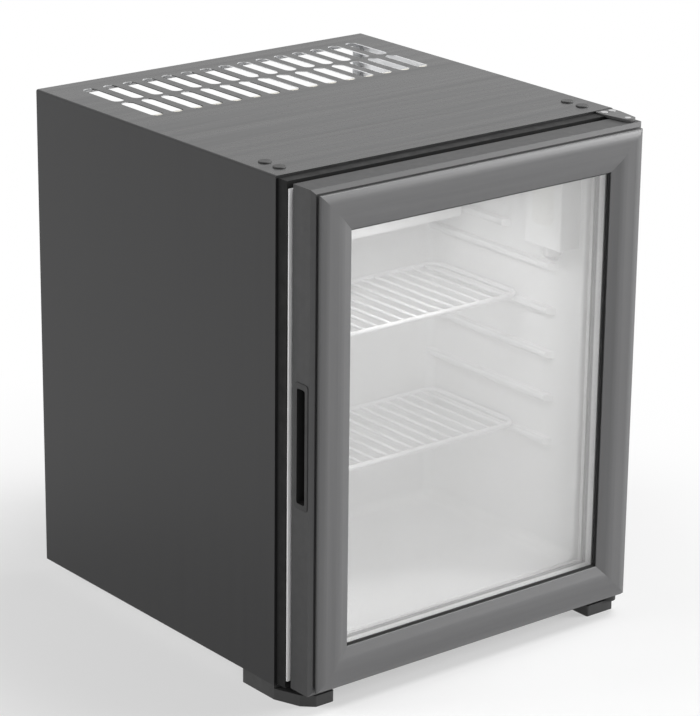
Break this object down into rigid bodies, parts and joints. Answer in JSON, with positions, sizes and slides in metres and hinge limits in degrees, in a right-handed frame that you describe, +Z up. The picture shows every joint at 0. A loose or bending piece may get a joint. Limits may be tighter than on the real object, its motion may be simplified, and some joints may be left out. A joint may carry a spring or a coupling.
{
  "type": "minibar fridge",
  "caption": "Small free-standing hotel fridge: dark folded-steel cabinet with a vented top, a framed glass door on side hinges, wire shelves in a white liner and an absorption unit behind.",
  "frame": {"origin": "on the floor under the middle of the bounding box", "axes": "+Z up, +Y to the rear, +X to the right as seen from the front, with the door facing -Y"},
  "size_m": [0.4, 0.4318, 0.5012],
  "materials": {
    "casing_paint": "satin",
    "plain_steel": "satin",
    "collar_plastic": "matte",
    "foam": "matte",
    "liner_plastic": "satin",
    "foot_plastic": "matte",
    "bright_steel": "satin",
    "nylon": "matte",
    "unit_paint": "satin",
    "cold_aluminium": "satin",
    "jacket_sheet": "satin",
    "dark_plastic": "matte",
    "lens_plastic": "satin",
    "board": "satin",
    "knob_plastic": "satin",
    "door_frame": "satin",
    "pane_glass": "polished",
    "dark_rubber": "matte",
    "gasket_rubber": "matte",
    "shelf_coat": "satin"
  },
  "bodies": {
    "cabinet": {"outer_casing": "casing_paint", "base_pan": "plain_steel", "back_plate": "plain_steel", "front_collar": "collar_plastic", "insulation_foam": "foam", "evaporator_plug": "foam", "inner_liner": "liner_plastic", "control_housing": "liner_plastic", "front_foot_left": "foot_plastic", "front_foot_right": "foot_plastic", "rear_foot_left": "foot_plastic", "rear_foot_right": "foot_plastic", "screw_caps": "foot_plastic", "foot_screws": "bright_steel", "hinge_screws": "bright_steel", "upper_hinge_bracket": "bright_steel", "upper_hinge_pin": "bright_steel", "lower_hinge_bracket": "bright_steel", "lower_hinge_pin": "bright_steel", "condenser_supports": "bright_steel", "coil_supports": "bright_steel", "vessel_cradles": "bright_steel", "boiler_bracket": "bright_steel", "thrust_washer": "nylon", "evaporator_pipe": "unit_paint", "condenser_pipe": "unit_paint", "absorber_coil": "unit_paint", "absorber_vessel": "unit_paint", "boiler_tube": "unit_paint", "condenser_fins": "unit_paint", "evaporator_fins": "cold_aluminium", "evaporator_clamp": "cold_aluminium", "boiler_jacket": "jacket_sheet", "heater_cartridge": "jacket_sheet", "control_box": "dark_plastic", "mains_inlet": "dark_plastic", "lamp_lens": "lens_plastic", "led_board": "board", "thermostat_body": "board"},
    "door": {"door_top_rail": "door_frame", "door_bottom_rail": "door_frame", "door_left_stile": "door_frame", "door_right_stile": "door_frame", "corner_keys": "nylon", "handle_insert": "dark_plastic", "outer_pane": "pane_glass", "inner_pane": "pane_glass", "pane_spacer": "cold_aluminium", "edge_sealant": "dark_rubber", "glazing_seal": "dark_rubber", "glazing_bead": "liner_plastic", "door_gasket": "gasket_rubber", "gasket_magnets": "dark_rubber", "upper_hinge_bush": "nylon", "lower_hinge_bush": "nylon"},
    "upper_shelf": {"upper_shelf": "shelf_coat"},
    "lower_shelf": {"lower_shelf": "shelf_coat"},
    "drip_tray": {"drip_tray": "liner_plastic"},
    "thermostat_knob": {"thermostat_knob": "knob_plastic"}
  },
  "joints": [
    {"name": "door_hinge", "type": "hinge", "parent": "cabinet", "child": "door", "pos_m": [0.1875, -0.1961, 0.257], "axis": [0, 0, 1], "range_deg": [0, 120]},
    {"name": "upper_shelf_slide", "type": "slide", "parent": "cabinet", "child": "upper_shelf", "axis": [0, -1, 0], "range_m": [0, 0.07]},
    {"name": "lower_shelf_slide", "type": "slide", "parent": "cabinet", "child": "lower_shelf", "axis": [0, -1, 0], "range_m": [0, 0.07]},
    {"name": "drip_tray_slide", "type": "slide", "parent": "cabinet", "child": "drip_tray", "axis": [0, -1, 0], "range_m": [0, 0.05]},
    {"name": "thermostat_turn", "type": "hinge", "parent": "cabinet", "child": "thermostat_knob", "pos_m": [0.1435, -0.1457, 0.365], "axis": [0, 0, 1], "range_deg": [0, 270]}
  ]
}
